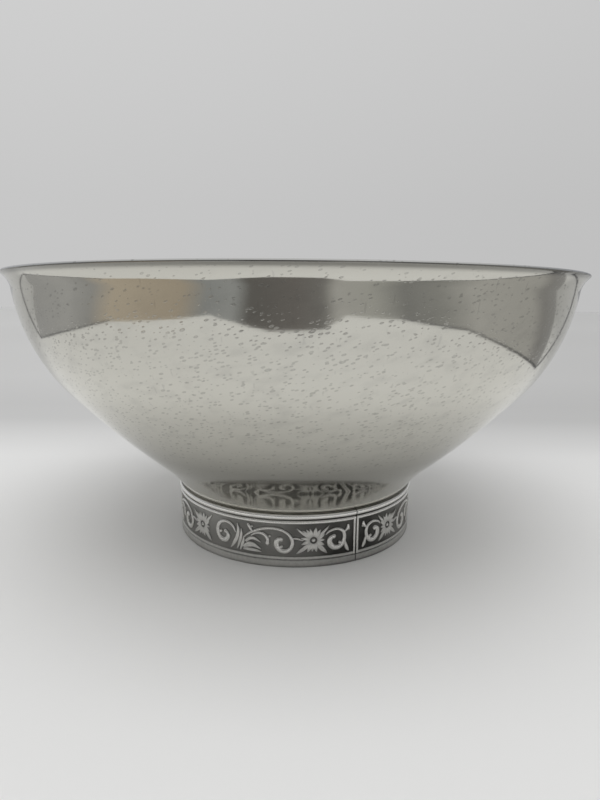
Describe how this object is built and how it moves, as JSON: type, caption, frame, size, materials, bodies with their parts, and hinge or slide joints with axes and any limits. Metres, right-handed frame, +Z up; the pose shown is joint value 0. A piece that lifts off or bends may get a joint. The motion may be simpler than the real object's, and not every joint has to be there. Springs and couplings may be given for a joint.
{
  "type": "footed shaving bowl",
  "caption": "Wide polished steel lather bowl with a turned-out lip, standing on a low foot ring wrapped in a stamped scroll-and-flower band.",
  "frame": {"origin": "centre of the plane that the foot rests on", "axes": "+Z up the bowl's axis; -Y is the front, and the band's butt joint stands 27.1 degrees from it toward +X"},
  "size_m": [0.2032, 0.2032, 0.097],
  "materials": {
    "polished_sheet": "mirror polished, with dried water spots and fine scratches",
    "plain_ring": "satin",
    "stamped_band": "polished raised work over darkened recesses",
    "solder": "dull as-melted",
    "seam_fill": "dark, tarnished"
  },
  "bodies": {
    "root": {"bowl_shell": "polished_sheet", "foot_core_ring": "plain_ring", "frieze_band": "stamped_band", "foot_braze": "solder", "band_solder_upper": "solder", "band_solder_lower": "solder", "seam_solder": "seam_fill"}
  },
  "joints": []
}
